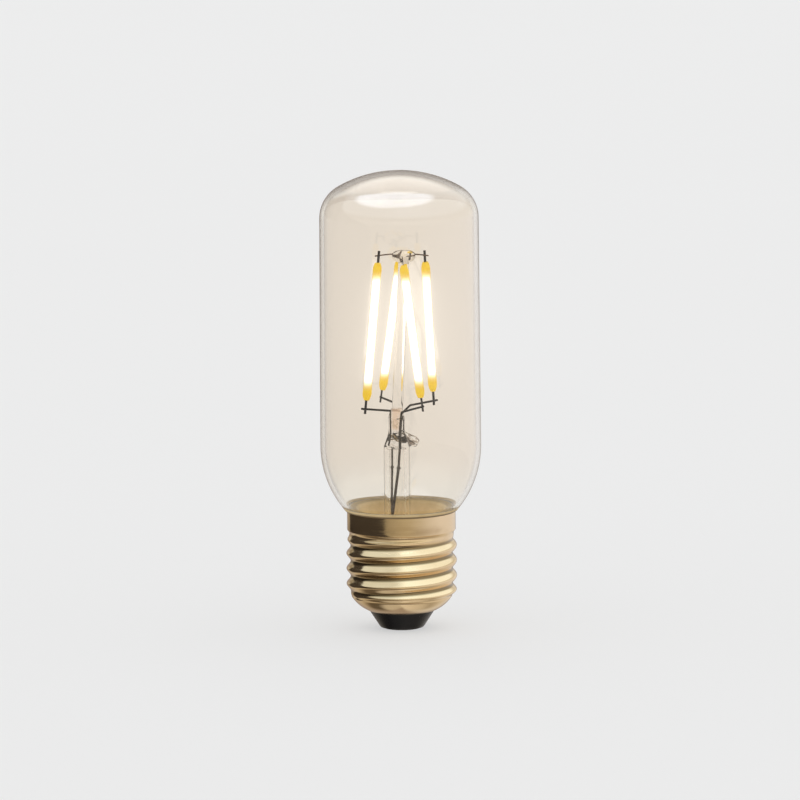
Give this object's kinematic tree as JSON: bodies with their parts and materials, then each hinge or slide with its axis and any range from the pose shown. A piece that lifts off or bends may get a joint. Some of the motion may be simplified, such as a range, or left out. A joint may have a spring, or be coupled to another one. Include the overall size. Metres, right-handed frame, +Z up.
{
  "type": "led light bulb",
  "caption": "Clear tubular lamp on a brass screw cap, with upright light-emitting filaments round a glass stem and a small driver in the cap.",
  "frame": {"origin": "on the lamp's axis, at the underside of the centre contact", "axes": "+Z up the lamp's axis from cap to dome, -Y the side that the picture shows"},
  "size_m": [0.038, 0.038, 0.1089],
  "materials": {
    "envelope_glass": "clear, very slightly warm",
    "stem_glass": "clear",
    "cap_brass": "bright rolled",
    "contact_metal": "dull",
    "black_glass": "gloss",
    "cement": "matt",
    "nickel_wire": "satin",
    "copper_wire": "satin",
    "tab_metal": "satin",
    "phosphor_coat": "matt, lit",
    "strip_ceramic": "matt",
    "board_laminate": "satin",
    "moulded_black": "matt",
    "capacitor_can": "sleeved",
    "resistor_body": "lacquered"
  },
  "bodies": {
    "root": {"glass_envelope": "envelope_glass", "stem_flare": "stem_glass", "mount_rod": "stem_glass", "exhaust_tube": "stem_glass", "screw_shell": "cap_brass", "centre_contact": "contact_metal", "insulator": "black_glass", "cement_ring": "cement", "inner_lead_left": "nickel_wire", "inner_lead_right": "nickel_wire", "branch_wire_back": "nickel_wire", "branch_wire_right": "nickel_wire", "top_wire_side": "nickel_wire", "top_wire_cross": "nickel_wire", "outer_lead_left": "copper_wire", "outer_lead_right": "copper_wire", "shell_wire": "copper_wire", "driver_board": "board_laminate", "driver_chip": "moulded_black", "bridge_rectifier": "moulded_black", "electrolytic_capacitor": "capacitor_can", "fuse_resistor": "resistor_body", "filament_left_coat": "phosphor_coat", "filament_left_strip": "strip_ceramic", "filament_left_foot_tab": "tab_metal", "filament_left_head_tab": "tab_metal", "filament_front_coat": "phosphor_coat", "filament_front_strip": "strip_ceramic", "filament_front_foot_tab": "tab_metal", "filament_front_head_tab": "tab_metal", "filament_right_coat": "phosphor_coat", "filament_right_strip": "strip_ceramic", "filament_right_foot_tab": "tab_metal", "filament_right_head_tab": "tab_metal", "filament_back_coat": "phosphor_coat", "filament_back_strip": "strip_ceramic", "filament_back_foot_tab": "tab_metal", "filament_back_head_tab": "tab_metal"}
  },
  "joints": []
}
